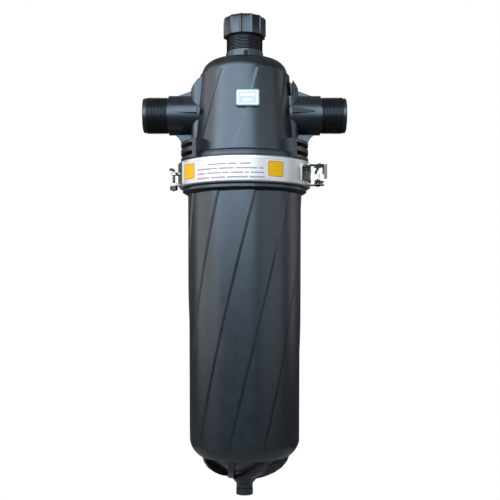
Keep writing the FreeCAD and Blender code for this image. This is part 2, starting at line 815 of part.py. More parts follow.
def strap(name, reach, turn, half_height="strap_half_height"):
    """Curved strap on the clamp's outer face, centred at an angle from +X."""
    body = turned(name, [
        ("band_radius + weld_gap", f"-({half_height})"),
        ("band_radius + weld_gap + strap_sheet", f"-({half_height})"),
        ("band_radius + weld_gap + strap_sheet", half_height),
        ("band_radius + weld_gap", half_height)], reach)
    return place(body, turn=turn)


def build_latch_base():
    leaf = strap("base_leaf", "30", -19.0)
    web = strap("base_web", "14", -11.0, "base_half_height")
    pieces = [leaf, web]
    for name, side in (("upper", "+"), ("lower", "-")):
        flange = plate(f"base_flange_{name}", [
            ("band_radius - 6", "pivot_y - 19"),
            ("band_radius + base_stand - 6", "pivot_y - 17"),
            ("band_radius + base_stand", "pivot_y - 11"),
            ("band_radius + base_stand", "pivot_y + 4"),
            ("band_radius + base_stand - 5", "pivot_y + 8.5"),
            ("band_radius - 2", "pivot_y + 8.5")], "base_sheet")
        pieces.append(place(flange, z=f"{side}(base_half_height - base_sheet / 2)"))
    holes = [band_clearance("base_band"), rivet_hole("base_rivet_hole", -size("rivet_angle"))]
    holes.append(cylinder("base_pivot_hole", "pivot_radius + running_gap", "base_half_height * 3",
                          x="band_radius + pivot_stand", y="pivot_y", z="-base_half_height * 1.5"))
    base = cut("latch_base_cut", joined("latch_base_sheet", *pieces), *holes)
    finish(place(base, z=SEAM), "latch_base")


def build_latch_lever():
    block = plate("lever_block", [
        ("-6", "-lever_length + 18"),
        ("1", "-lever_length"),
        ("lever_back", "-lever_length"),
        ("lever_back", "3"),
        ("3", "6"),
        ("-4", "6"),
        ("-6", "4")], "lever_half_height * 2")
    tip = plate("lever_tip", [
        ("lever_back - lever_sheet", "-lever_length + 1"),
        ("lever_back - lever_sheet", "-lever_length - 0.5"),
        ("lever_back + 2", "-lever_length - 5"),
        ("lever_back + 3.2", "-lever_length - 4"),
        ("lever_back", "-lever_length + 1")], "lever_half_height * 2 - 5")
    inside = box("lever_inside", "lever_back + 8 - lever_sheet", "lever_length + 20",
                 "lever_half_height * 2 - lever_sheet * 2", "-8", "-lever_length - 9",
                 "-lever_half_height + lever_sheet")
    window = box("lever_window_cut", "lever_back", "lever_window + 8",
                 "lever_half_height * 2 - lever_sheet * 2", "2", "-lever_window",
                 "-lever_half_height + lever_sheet")
    shell = cut("lever_shell", block, inside, window)
    pivot = cylinder("lever_pivot_hole", "pivot_radius + running_gap", "50", z="-25")
    link = cylinder("lever_link_hole", "bail_wire + running_gap", "50",
                    x="-toggle_over_centre", y="-toggle_throw", z="-25")
    lever = cut("lever", joined("lever_formed", shell, tip), pivot, link)
    finish(place(lever, x="band_radius + pivot_stand", y="pivot_y", z=SEAM), "latch_lever")


def build_pivot_pins():
    """Two short rivets, each through one flange of the base and one cheek of the lever."""
    upper = turned("pivot_rivet", [
        ("0", "lever_half_height - lever_sheet - 1.1"),
        ("pivot_head - 0.4", "lever_half_height - lever_sheet - 1.1"),
        ("pivot_head - 0.4", "lever_half_height - lever_sheet - 0.15"),
        ("pivot_radius", "lever_half_height - lever_sheet - 0.15"),
        ("pivot_radius", "base_half_height + 0.1"),
        ("pivot_head", "base_half_height + 0.1"),
        ("pivot_head - 1.2", "base_half_height + 1.8"),
        ("0", "base_half_height + 1.8")])
    lower = mirrored("pivot_rivet_lower", upper, UP)
    pair = doc.addObject("Part::Compound", "pivot_rivets")
    pair.Links = [upper, lower]
    finish(place(pair, x="band_radius + pivot_stand", y="pivot_y", z=SEAM), "latch_pivot_pins")


def bail_path():
    """Corners of the wire, in the plane of X and the latch's height, rounded by arcs."""
    x = -size("toggle_over_centre")
    start, end = -size("toggle_throw"), size("bail_length") - size("toggle_throw")
    half = size("bail_half_width")
    tip = size("lever_half_height") + 0.8
    corners = [
        FreeCAD.Vector(x, start, tip),
        FreeCAD.Vector(x, start, half),
        FreeCAD.Vector(x, end, half),
        FreeCAD.Vector(x, end, -half),
        FreeCAD.Vector(x, start, -half),
        FreeCAD.Vector(x, start, -tip)]
    return rounded_path(corners, size("bail_bend"))


def rounded_path(corners, radius):
    """Wire of straight runs joined by tangent quarter arcs."""
    edges = []
    here = corners[0]
    for before, corner, after in zip(corners, corners[1:], corners[2:]):
        back = (before - corner).normalize()
        ahead = (after - corner).normalize()
        enter = corner + back * radius
        leave = corner + ahead * radius
        middle = corner + (back + ahead) * radius * (1 - math.sqrt(0.5))
        edges.append(Part.makeLine(here, enter))
        edges.append(Part.Arc(enter, middle, leave).toShape())
        here = leave
    edges.append(Part.makeLine(here, corners[-1]))
    return Part.Wire(edges)


def wire_rod(name, path, radius):
    """Round wire swept along a path from its first point."""
    first = path.Edges[0]
    begin = first.Vertexes[0].Point
    section = Part.Wire([Part.makeCircle(radius, begin, first.tangentAt(0))])
    return solid(name, path.makePipeShell([section], True, False))


def build_bail():
    bail = wire_rod("bail", bail_path(), size("bail_wire"))
    finish(place(bail, x="band_radius + pivot_stand", y="pivot_y", z=SEAM), "latch_bail")


def build_latch_hook():
    leaf = strap("hook_leaf", "28", 18.0)
    bar = "pivot_y + bail_length - toggle_throw - bail_wire - seat_gap"
    lip = "band_radius + pivot_stand - toggle_over_centre + bail_wire + 2.2"
    claw = plate("hook_claw", [
        ("band_radius - 4", bar + " - hook_sheet"),
        (lip + " + hook_sheet - 1", bar + " - hook_sheet"),
        (lip + " + hook_sheet", bar + " - hook_sheet + 1"),
        (lip + " + hook_sheet", bar + " + hook_lip + 2"),
        (lip, bar + " + hook_lip + 2"),
        (lip, bar + " + 1.5"),
        (lip + " - 1.5", bar),
        ("band_radius - 4", bar)], "hook_half_width * 2")
    holes = [band_clearance("hook_band"), rivet_hole("hook_rivet_hole", size("rivet_angle"))]
    hook = cut("hook_cut", joined("hook_sheet_part", leaf, claw), *holes)
    finish(place(hook, z=SEAM), "latch_hook")


def hinge_ear(name, side, level):
    """Flat ear from the strap out round the hinge pin."""
    def across(text):
        return text if side > 0 else f"-({text})"

    body = plate(name, [
        ("-band_radius + 6", across("2.5")),
        ("-band_radius - hinge_stand + hinge_ear_radius", across("-0.6 * hinge_ear_radius")),
        ("-band_radius - hinge_stand + 0.4 * hinge_ear_radius", across("-hinge_ear_radius")),
        ("-band_radius - hinge_stand - 0.4 * hinge_ear_radius", across("-hinge_ear_radius")),
        ("-band_radius - hinge_stand - hinge_ear_radius", across("-0.4 * hinge_ear_radius")),
        ("-band_radius - hinge_stand - hinge_ear_radius", across("0.4 * hinge_ear_radius")),
        ("-band_radius - hinge_stand - 0.4 * hinge_ear_radius", across("hinge_ear_radius")),
        ("-band_radius + 3", across("17"))], "hinge_ear_sheet")
    return place(body, z=level)


def build_hinge():
    levels = {
        "front": ("hinge_top - hinge_ear_sheet / 2", "hinge_foot + hinge_ear_sheet / 2"),
        "rear": ("hinge_top - 1.5 * hinge_ear_sheet - seat_gap",
                 "hinge_foot + 1.5 * hinge_ear_sheet + seat_gap")}
    for name, side in (("front", -1), ("rear", 1)):
        pieces = [strap(f"hinge_leaf_{name}", "21", 180 - side * 13.5, "strap_half_height + 4.6")]
        for index, level in enumerate(levels[name], start=1):
            pieces.append(hinge_ear(f"hinge_ear_{name}_{index}", side, level))
        holes = [band_clearance(f"hinge_band_{name}"),
                 rivet_hole(f"hinge_rivet_hole_{name}", side * (180 - size("hinge_rivet_angle")))]
        holes.append(cylinder(f"hinge_hole_{name}", "hinge_pin_radius + running_gap", "60",
                              x="-band_radius - hinge_stand", z="-30"))
        bracket = cut(f"hinge_cut_{name}", joined(f"hinge_formed_{name}", *pieces), *holes)
        finish(place(bracket, z=SEAM), f"hinge_bracket_{name}")
    bend = 3.6
    top = size("hinge_top") + 1.2 + bend
    foot = size("hinge_foot") - size("nut_height") - 1.5
    path = rounded_path([
        FreeCAD.Vector(0, 0, foot), FreeCAD.Vector(0, 0, top),
        FreeCAD.Vector(-bend - 3.5, 0, top)], bend)
    pin = wire_rod("hinge_wire", path, size("hinge_pin_radius"))
    finish(place(pin, x="-band_radius - hinge_stand", z=SEAM), "hinge_pin")
    prism = doc.addObject("Part::Prism", "nut_prism")
    prism.Polygon = 6
    bind(prism, Circumradius="nut_flats / 1.732", Height="nut_height")
    bore = cylinder("nut_bore", "hinge_pin_radius + running_gap", "nut_height + 2", z="-1")
    nut = cut("nut", prism, bore)
    foot = SEAM + " + hinge_foot - nut_height - 0.1"
    finish(place(nut, x="-band_radius - hinge_stand", z=foot), "hinge_nut")


def build_rivets():
    """Four domed rivets that hold the latch and hinge straps to the band."""
    rivets = []
    turns = (size("rivet_angle"), -size("rivet_angle"),
             180 - size("hinge_rivet_angle"), 180 + size("hinge_rivet_angle"))
    for index, turn in enumerate(turns, start=1):
        rivet = turned(f"rivet_{index}", [
            ("0", "-band_sheet - weld_gap - strap_sheet"),
            ("rivet_radius - running_gap", "-band_sheet - weld_gap - strap_sheet"),
            ("rivet_radius - running_gap", "weld_gap"),
            ("rivet_head_radius", "weld_gap"),
            ("rivet_head_radius - 0.6", "weld_gap + rivet_head_height * 0.6"),
            ("rivet_head_radius * 0.45", "weld_gap + rivet_head_height"),
            ("0", "weld_gap + rivet_head_height")])
        place(rivet, x="band_radius + weld_gap + strap_sheet", turn=90.0,
              axis=FreeCAD.Vector(0, 1, 0))
        carrier = doc.addObject("Part::Compound", f"rivet_{index}_turned")
        carrier.Links = [rivet]
        rivets.append(place(carrier, turn=turn))
    group = doc.addObject("Part::Compound", "rivets")
    group.Links = rivets
    finish(place(group, z=SEAM), "clamp_rivets")


def build_body_seal():
    seal = turned("body_seal_ring", [
        ("seal_groove_radius + 0.2", "-seal_depth"),
        ("seal_groove_radius + seal_width - 0.2", "-seal_depth"),
        ("seal_groove_radius + seal_width - 0.2", "-0.6"),
        ("seal_groove_radius + seal_width - 0.8", "-0.02"),
        ("seal_groove_radius + 0.8", "-0.02"),
        ("seal_groove_radius + 0.2", "-0.6")])
    finish(place(seal, z=SEAM), "body_seal")


# Disc cartridge


def build_spine():
    low = "-stack_top - stack_length - end_plate - 1"
    spine = turned("spine", [
        ("0", low + " - 22"),
        ("5", low + " - 22"),
        ("5", low),
        ("spine_radius", low),
        ("spine_radius", "-stack_top + 1"),
        ("spine_radius + 7", "-stack_top + 1"),
        ("spine_radius + 7", "-stack_top + 6"),
        ("tube_bore + 4", "-tube_drop - 1"),
        ("tube_bore - seat_gap", "-tube_drop - 1"),
        ("tube_bore - seat_gap", "0"),
        ("tube_bore - 3", "0"),
        ("tube_bore - 3", "4.4"),
        ("tube_bore - seat_gap", "4.4"),
        ("tube_bore - seat_gap", "9"),
        ("tube_bore - 6", "9"),
        ("tube_bore - 6", "-tube_drop - 6"),
        ("spine_radius - spine_wall", "-stack_top - 4"),
        ("spine_radius - spine_wall", low + " + 4"),
        ("0", low + " + 4")])
    windows = []
    for index in range(6):
        window = box(f"spine_window_{index + 1}", "spine_radius + 5", "16", "stack_length - 40",
                     "10", "-8", "-stack_top - stack_length + 10")
        carrier = doc.addObject("Part::Compound", f"spine_window_{index + 1}_turned")
        carrier.Links = [window]
        windows.append(place(carrier, turn=30.0 + index * 60.0))
    finish(place(cut("spine_cut", spine, *windows), z=SEAM), "cartridge_spine")
    seal = ring("spine_seal", "tube_bore - 3", "tube_bore - 0.1", "0.2", "4.2")
    finish(place(seal, z=SEAM), "cartridge_seal")


def build_disc_stack():
    """Grooved discs pressed together, as one stack with rings between groups of discs."""
    corners = [("disc_bore", "-stack_top - stack_length"), ("disc_radius", "-stack_top - stack_length")]
    groups = int(size("stack_length") / size("disc_pitch"))
    for index in range(1, groups):
        level = f"-stack_top - stack_length + {index} * disc_pitch"
        corners.append(("disc_radius", level + " - 1.2"))
        corners.append(("disc_radius - 1.6", level))
        corners.append(("disc_radius", level + " + 1.2"))
    corners.append(("disc_radius", "-stack_top"))
    corners.append(("disc_bore", "-stack_top"))
    finish(place(turned("disc_stack_rings", corners), z=SEAM), "disc_stack")


def build_cartridge_ends():
    top = "-stack_top - stack_length - 0.1"
    base = turned("cartridge_plate", [
        ("6", top + " - end_plate - 3"),
        ("14", top + " - end_plate - 3"),
        ("spine_radius + 3", top + " - end_plate - 2"),
        ("disc_radius + 2", top + " - end_plate + 4"),
        ("disc_radius + 2", top),
        ("spine_radius + 0.5", top),
        ("spine_radius + 0.5", top + " - end_plate - 1"),
        ("6", top + " - end_plate - 1")])
    finish(place(base, z=SEAM), "cartridge_base")
    nut = turned("wing_nut_body", [
        ("5.1", "-14"),
        ("wing_nut_radius * 0.6", "-14"),
        ("wing_nut_radius * 0.7", "-0.1"),
        ("5.1", "-0.1")])
    wing = box("wing_nut_wings", "wing_nut_radius * 2", "5", "12", "-wing_nut_radius", "-2.5", "-13")
    bore = cylinder("wing_nut_bore", "5.1", "20", z="-15")
    nut = cut("wing_nut", joined("wing_nut_formed", nut, wing), bore)
    finish(place(nut, z=SEAM + " " + top + " - end_plate - 3"), "cartridge_nut")


def build_swirl_ring():
    """Ring of slanted vanes round the top of the stack that sets the water spinning."""
    hub = turned("swirl_hub", [
        ("disc_radius + 0.5", "-stack_top - vane_height - 2"),
        ("disc_radius + 3", "-stack_top - vane_height - 2"),
        ("disc_radius + 3", "-stack_top + 3.2"),
        ("spine_radius + 8", "-stack_top + 0.9"),
        ("spine_radius + 1", "-stack_top + 0.9"),
        ("spine_radius + 1", "-stack_top + 0.1"),
        ("disc_radius + 0.5", "-stack_top + 0.1")])
    vanes = []
    for index in range(VANES):
        vane = box(f"vane_{index + 1}", "vane_reach - disc_radius - 1", "vane_sheet",
                   "vane_height * 1.1", "disc_radius + 1", "-vane_sheet / 2",
                   "-stack_top - vane_height", size("vane_angle"), FreeCAD.Vector(1, 0, 0))
        carrier = doc.addObject("Part::Compound", f"vane_{index + 1}_turned")
        carrier.Links = [vane]
        vanes.append(place(carrier, turn=index * 360.0 / VANES))
    finish(place(joined("swirl", hub, *vanes), z=SEAM), "swirl_ring")


def check_and_write():
    doc.recompute()
    for thing in doc.Objects:
        if "Invalid" in thing.State or "Error" in thing.State:
            raise RuntimeError(f"{thing.Name} failed: {thing.State}")
    for thing in parts:
        if thing.Shape.isNull() or not thing.Shape.isValid() or not thing.Shape.Solids:
            raise RuntimeError(f"{thing.Label} has no sound shape")
    os.makedirs("parts", exist_ok=True)
    for thing in parts:
        thing.Shape.exportStep(f"parts/{thing.Label}.step")


fill_sheet()
build_bowl()
build_drain()
build_head()
build_head_fittings()
build_cap()
build_bands()
build_latch_base()
build_latch_lever()
build_pivot_pins()
build_bail()
build_latch_hook()
build_hinge()
build_rivets()
build_body_seal()
build_spine()
build_disc_stack()
build_cartridge_ends()
build_swirl_ring()
check_and_write()
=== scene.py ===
import json
import math

import bmesh
import bpy
from mathutils import Matrix, Vector


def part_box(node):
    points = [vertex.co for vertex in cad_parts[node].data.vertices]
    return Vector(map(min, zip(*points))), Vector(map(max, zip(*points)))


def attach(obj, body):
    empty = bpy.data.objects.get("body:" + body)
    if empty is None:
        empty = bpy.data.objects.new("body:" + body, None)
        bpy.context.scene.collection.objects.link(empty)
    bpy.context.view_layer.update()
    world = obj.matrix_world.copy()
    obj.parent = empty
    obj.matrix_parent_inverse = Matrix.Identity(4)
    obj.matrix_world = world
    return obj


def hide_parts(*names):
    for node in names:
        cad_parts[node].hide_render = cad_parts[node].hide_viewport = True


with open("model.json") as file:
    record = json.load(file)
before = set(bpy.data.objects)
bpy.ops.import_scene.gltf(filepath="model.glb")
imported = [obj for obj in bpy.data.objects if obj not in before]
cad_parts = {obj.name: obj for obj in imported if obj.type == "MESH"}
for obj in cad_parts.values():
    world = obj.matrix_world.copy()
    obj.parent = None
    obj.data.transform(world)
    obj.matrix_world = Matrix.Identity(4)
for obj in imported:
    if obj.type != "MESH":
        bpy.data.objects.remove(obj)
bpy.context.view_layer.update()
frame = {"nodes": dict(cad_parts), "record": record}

bl_info = {
    "name": "Disc filter looks",
    "version": (1, 0, 0),
    "blender": (4, 5, 0),
    "location": "3D View > Sidebar > Disc filter",
    "description": "Studio, finishes, threads, screw cap, clamp bands and labels of a disc filter",
    "category": "Object",
}

BODY = "filter"
MOUNTS = {mount["name"]: mount for mount in frame["record"]["mounts"]}
PORT_HEIGHT = MOUNTS["outlet_port"]["pos_m"][2]
PORT_ROOT = MOUNTS["outlet_port"]["dims"]["r_mm"] / 1000
PORT_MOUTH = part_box("filter_head")[1].x
CAP_FOOT, CAP_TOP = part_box("port_cap")[0].z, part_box("port_cap")[1].z
BAND_LOW, BAND_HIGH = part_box("clamp_band_front")
BAND_RADIUS = -BAND_LOW.y
SEAM = (BAND_LOW.z + BAND_HIGH.z) / 2
PLATE_LOW, PLATE_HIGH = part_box("head_plate")
NEAR = 1e-6              # metres within which two points count as one
BURIED = 0.00002         # how far a printed or stamped form reaches into what carries it


# Sizes and colours that a user would change

def number(name, description, default, **settings):
    return bpy.props.FloatProperty(name=name, description=description, default=default, **settings)


def length(name, description, default):
    return number(name, description, default, unit="LENGTH", precision=5)


def power(name, description, default):
    return number(name, description, default, unit="POWER")


def angle(name, description, degrees):
    return number(name, description, math.radians(degrees), subtype="ANGLE")


def count(name, description, default):
    return bpy.props.IntProperty(name=name, description=description, default=default)


def colour(name, description, default):
    return bpy.props.FloatVectorProperty(name=name, description=description, default=default,
                                         subtype="COLOR", size=3, min=0, max=1)


class FilterStudio(bpy.types.PropertyGroup):
    distance: length("Camera distance", "From the filter's axis to the lens", 1.4)
    eye_height: length("Eye height", "Height of the lens over the floor", 0.347)
    lens: number("Lens", "Focal length in millimetres", 60.9)
    shift_across: number("Shift across", "Share of the picture's width that the filter stands left", 0.0108)
    shift_up: number("Shift up", "Share of the picture's width that the filter stands low", 0.0677)
    aim_height: length("Aim height", "Height that the panels of light face", 0.45)
    sky_power: power("Sky panel", "Power of the high front panel", 110.0)
    side_power: power("Side panels", "Power of the side panels", 22.0)
    table_power: power("Light table", "Power of the glow from below", 0.1)
    room_level: number("Room level", "Even light from all round", 0.06)
    floor_gloss: number("Floor in gloss", "Share of white that reflections show of the floor", 0.05)
    room_gloss: number("Room in gloss", "Share of white that reflections show of the room", 0.1)


class FilterFinishes(bpy.types.PropertyGroup):
    plastic: colour("Moulded plastic", "Black glass-filled plastic", (0.0045, 0.0055, 0.007))
    sheen: colour("Plastic sheen", "Tint of the plastic's reflections", (0.82, 0.9, 1.0))
    # The threads also take this deeper black, where it is painted shade between the ridges and under the cap
    cap: colour("Cap plastic", "Deeper black of the screw cap", (0.003, 0.0032, 0.0038))
    plastic_dust: colour("Dust", "Pale film that settles on ledges", (0.16, 0.17, 0.18))
    steel: colour("Stainless", "Rolled stainless sheet", (0.5, 0.49, 0.48))
    wire: colour("Wire", "Drawn wire of the latch", (0.34, 0.34, 0.35))
    pins: colour("Pins", "Darker steel of the hinge pin, nut and pivots", (0.06, 0.06, 0.062))
    plate: colour("Plate", "Satin silver plate", (0.42, 0.45, 0.44))
    rubber: colour("Rubber", "Seals and gaskets", (0.012, 0.012, 0.012))
    discs: colour("Discs", "Grooved discs inside the bowl", (0.5, 0.05, 0.035))
    inner: colour("Inner plastic", "Spine, vanes and end plates", (0.05, 0.052, 0.056))


class PipeThread(bpy.types.PropertyGroup):
    pitch: length("Pitch", "Eleven threads to the inch", 0.0254 / 11)
    root: length("Root radius", "Cylinder that the ridge stands on", PORT_ROOT)
    crest: length("Crest radius", "Top of the ridge", 0.0298)
    port_start: length("Port thread start", "From the axis to the first ridge", 0.1250)
    port_end: length("Port thread end", "Plain rim left at the mouth", PORT_MOUTH - 0.0042)
    neck_start: length("Neck thread start", "Height of the first ridge under the cap", 0.7276)
    neck_end: length("Neck thread end", "Height of the last ridge, inside the cap", CAP_FOOT + 0.014)
    facets: count("Facets", "Facets in one turn", 56)


class ScrewCap(bpy.types.PropertyGroup):
    radius: length("Radius", "Over the grip's corners", 0.0352)
    bore: length("Bore", "Radius of the hollow over the thread", 0.0302)
    raised: length("Raised", "Foot of the cap over the solid's foot", 0.0086)
    skirt: length("Skirt", "Height of the slanted foot", 0.0010)
    rib: length("Rib", "How far each rib stands out of the grip", 0.0009)
    ribs: count("Ribs", "Ribs round the grip", 12)
    facets: count("Facets", "Facets from one rib to the next", 12)
    turn: angle("Turn", "First rib, from the front towards the outlet", 19)


class ClampBand(bpy.types.PropertyGroup):
    top: length("Top", "Upper lip over the seam", 0.0202)
    foot: length("Foot", "Lower lip under the seam", 0.0215)
    lip: length("Lip", "How far both lips fold in", 0.0083)
    sheet: length("Sheet", "Thickness of the rolled sheet", 0.0012)
    bend: length("Bend", "Outer radius of the folds", 0.0028)


class ClampLabel(bpy.types.PropertyGroup):
    half_height: length("Half height", "Half of the film's height", 0.0165)
    drop: length("Drop", "Middle of the film under the seam", 0.0008)
    field: length("Field", "Half of the height of both amber fields", 0.0121)
    bar: length("Bar", "Half of the height of each plain bar", 0.0011)
    inset: length("Inset", "Width of the border of both amber fields", 0.0013)
    film: length("Film", "Thickness of the film", 0.00012)
    ink: length("Ink", "Thickness of each printed field", 0.00004)
    start: angle("Start", "Left end, from the front towards the outlet", -72)
    end: angle("End", "Right end, from the front towards the outlet", 36)
    film_colour: colour("Film colour", "Pale silver film", (0.72, 0.64, 0.6))
    amber: colour("Amber", "Colour of both fields", (0.86, 0.44, 0.006))
    edge: colour("Field edge", "Border of both fields", (0.66, 0.17, 0.03))
    bars: colour("Bars", "Plain bars between the fields", (0.42, 0.27, 0.3))
    rule: colour("Rule", "Thin line round the film", (0.4, 0.4, 0.44))


# Node groups for the effects that several finishes share

def add(tree, kind, values=None, **settings):
    made = tree.nodes.new(kind)
    for name, value in settings.items():
        setattr(made, name, value)
    for socket, value in (values or {}).items():
        made.inputs[socket].default_value = value
    return made


def group_tree(name, inputs, outputs):
    tree = bpy.data.node_groups.new(name, "ShaderNodeTree")
    for socket, value in inputs.items():
        made = tree.interface.new_socket(name=socket, in_out="INPUT", socket_type="NodeSocketFloat")
        made.default_value = value
    for socket in outputs:
        tree.interface.new_socket(name=socket, in_out="OUTPUT", socket_type="NodeSocketFloat")
    return tree, tree.nodes.new("NodeGroupInput"), tree.nodes.new("NodeGroupOutput")


def math_node(tree, operation, first, second):
    made = add(tree, "ShaderNodeMath", operation=operation)
    for socket, value in zip(made.inputs, (first, second)):
        if isinstance(value, (int, float)):
            socket.default_value = value
        else:
            tree.links.new(value, socket)
    return made.outputs[0]


def noise(tree, scale, detail, stretch=(1, 1, 1)):
    """Noise on Object coordinates. The scale is in features per metre, or a socket."""
    place = add(tree, "ShaderNodeTexCoord").outputs["Object"]
    mapping = add(tree, "ShaderNodeMapping", {"Scale": stretch})
    tree.links.new(place, mapping.inputs["Vector"])
    made = add(tree, "ShaderNodeTexNoise", {"Detail": detail, "Roughness": 0.55})
    tree.links.new(mapping.outputs[0], made.inputs["Vector"])
    if isinstance(scale, (int, float)):
        made.inputs["Scale"].default_value = scale
    else:
        tree.links.new(scale, made.inputs["Scale"])
    return made.outputs[0]


def moulded_grain():
    """Fine grain over slow waves, as a mould leaves on plastic."""
    tree, given, put = group_tree("moulded_grain", {
        "Grain Scale": 1400, "Wave Scale": 26, "Wave Share": 0.5, "Roughness": 0.4, "Spread": 0.1},
        ("Height", "Roughness"))
    grain = noise(tree, given.outputs["Grain Scale"], detail=2.0)
    waves = noise(tree, given.outputs["Wave Scale"], detail=3.0)
    rest = math_node(tree, "SUBTRACT", 1.0, given.outputs["Wave Share"])
    height = math_node(tree, "ADD", math_node(tree, "MULTIPLY", waves, given.outputs["Wave Share"]),
                       math_node(tree, "MULTIPLY", grain, rest))
    patches = math_node(tree, "SUBTRACT", noise(tree, scale=55.0, detail=4.0), 0.5)
    rough = math_node(tree, "ADD", given.outputs["Roughness"],
                      math_node(tree, "MULTIPLY", patches, given.outputs["Spread"]))
    tree.links.new(height, put.inputs["Height"])
    tree.links.new(rough, put.inputs["Roughness"])
    return tree


def settled_dust():
    """Mask of dust, strongest on faces that look up, broken by noise."""
    tree, given, put = group_tree("settled_dust", {"Amount": 0.3, "Everywhere": 0.04}, ("Mask",))
    normal = add(tree, "ShaderNodeNewGeometry").outputs["Normal"]
    parts = add(tree, "ShaderNodeSeparateXYZ")
    tree.links.new(normal, parts.inputs[0])
    up = add(tree, "ShaderNodeMapRange", {"From Min": 0.25, "From Max": 0.95})
    tree.links.new(parts.outputs["Z"], up.inputs["Value"])
    cloud = add(tree, "ShaderNodeMapRange", {"From Min": 0.35, "From Max": 0.75})
    tree.links.new(noise(tree, scale=90.0, detail=6.0), cloud.inputs["Value"])
    ledge = math_node(tree, "MULTIPLY", up.outputs[0], given.outputs["Amount"])
    film = math_node(tree, "ADD", ledge, given.outputs["Everywhere"])
    tree.links.new(math_node(tree, "MULTIPLY", film, cloud.outputs[0]), put.inputs["Mask"])
    return tree


def worked_lines():
    """Fine lines that rolling, drawing or turning leaves on metal, round the vertical axis."""
    tree, given, put = group_tree("worked_lines", {"Roughness": 0.2, "Spread": 0.12}, ("Height", "Roughness"))
    lines = noise(tree, scale=1.0, detail=3.0, stretch=(14, 14, 1900))
    smudges = math_node(tree, "SUBTRACT", noise(tree, scale=34.0, detail=4.0), 0.5)
    rough = math_node(tree, "ADD", given.outputs["Roughness"],
                      math_node(tree, "MULTIPLY", smudges, given.outputs["Spread"]))
    tree.links.new(lines, put.inputs["Height"])
    tree.links.new(rough, put.inputs["Roughness"])
    return tree


GROUPS = {}


def placed(tree, name, values=None):
    """Node that places the shared group of that name, built at its first use."""
    if name not in GROUPS:
        GROUPS[name] = {"moulded_grain": moulded_grain, "settled_dust": settled_dust,
                        "worked_lines": worked_lines}[name]()
    made = tree.nodes.new("ShaderNodeGroup")
    made.node_tree = GROUPS[name]
    for socket, value in (values or {}).items():
        made.inputs[socket].default_value = value
    return made


# Finishes

def shader(name, **values):
    """New material of one Principled BSDF with these plain values."""
    material = bpy.data.materials.new(name)
    material.use_nodes = True
    surface = material.node_tree.nodes["Principled BSDF"]
    for socket, value in values.items():
        surface.inputs[socket.replace("_", " ")].default_value = value
    return material, material.node_tree, surface


def rgba(values, level=1.0):
    return (*(value * level for value in values), 1.0)


def drift(tree, surface, first, second, scale):
    """Slow change between two colours, on the Base Color."""
    mix = add(tree, "ShaderNodeMix", data_type="RGBA")
    mix.inputs["A"].default_value = first
    mix.inputs["B"].default_value = second
    tree.links.new(noise(tree, scale, detail=4.0), mix.inputs["Factor"])
    tree.links.new(mix.outputs["Result"], surface.inputs["Base Color"])


def bump(tree, surface, height, depth):
    """Bump whose depth is in metres, on the surface's Normal."""
    made = add(tree, "ShaderNodeBump", {"Distance": depth, "Strength": 1.0})
    tree.links.new(height, made.inputs["Height"])
    tree.links.new(made.outputs["Normal"], surface.inputs["Normal"])


def dusted(tree, surface, dust, amount, everywhere):
    """Dust mixed over whatever colour the surface has so far."""
    below = surface.inputs["Base Color"].links[0].from_socket
    mix = add(tree, "ShaderNodeMix", data_type="RGBA")
    mask = placed(tree, "settled_dust", {"Amount": amount, "Everywhere": everywhere})
    tree.links.new(mask.outputs["Mask"], mix.inputs["Factor"])
    tree.links.new(below, mix.inputs["A"])
    mix.inputs["B"].default_value = dust
    tree.links.new(mix.outputs["Result"], surface.inputs["Base Color"])


def moulded(name, base, dust, sheen, roughness=0.33, level=0.9, grain=1500, waves=0.8, depth=0.00006):
    """Moulded plastic with a little dust. The sheen tints its reflections."""
    material, tree, surface = shader(name, Specular_IOR_Level=level, Specular_Tint=rgba(sheen))
    drift(tree, surface, rgba(base, 0.8), rgba(base, 1.25), scale=22.0)
    dusted(tree, surface, rgba(dust), amount=0.2, everywhere=0.02)
    grained = placed(tree, "moulded_grain", {"Grain Scale": grain, "Wave Share": waves,
                                             "Roughness": roughness, "Spread": 0.16})
    tree.links.new(grained.outputs["Roughness"], surface.inputs["Roughness"])
    bump(tree, surface, grained.outputs["Height"], depth)
    return material


def worked_metal(name, base, roughness, depth=0.000004):
    """Rolled, drawn or turned metal."""
    material, tree, surface = shader(name, Metallic=1.0)
    drift(tree, surface, rgba(base, 0.92), rgba(base, 1.06), scale=40.0)
    lines = placed(tree, "worked_lines", {"Roughness": roughness})
    tree.links.new(lines.outputs["Roughness"], surface.inputs["Roughness"])
    bump(tree, surface, lines.outputs["Height"], depth)
    return material


def rubber_finish(name, base):
    """Dull rubber with a fine grain."""
    material, tree, surface = shader(name, Specular_IOR_Level=0.35)
    drift(tree, surface, rgba(base, 0.7), rgba(base, 1.6), scale=60.0)
    grained = placed(tree, "moulded_grain", {"Grain Scale": 2200, "Wave Share": 0.3,
                                             "Roughness": 0.62, "Spread": 0.12})
    tree.links.new(grained.outputs["Roughness"], surface.inputs["Roughness"])
    bump(tree, surface, grained.outputs["Height"], depth=0.00003)
    return material


def grooved_discs(name, base):
    """Edges of thin discs: fine rings, one to a millimetre."""
    material, tree, surface = shader(name, Roughness=0.45)
    drift(tree, surface, rgba(base, 0.75), rgba(base, 1.2), scale=30.0)
    waves = add(tree, "ShaderNodeTexWave", {"Scale": 157.0}, wave_type="BANDS", bands_direction="Z")
    tree.links.new(add(tree, "ShaderNodeTexCoord").outputs["Object"], waves.inputs["Vector"])
    bump(tree, surface, waves.outputs["Fac"], depth=0.0003)
    return material


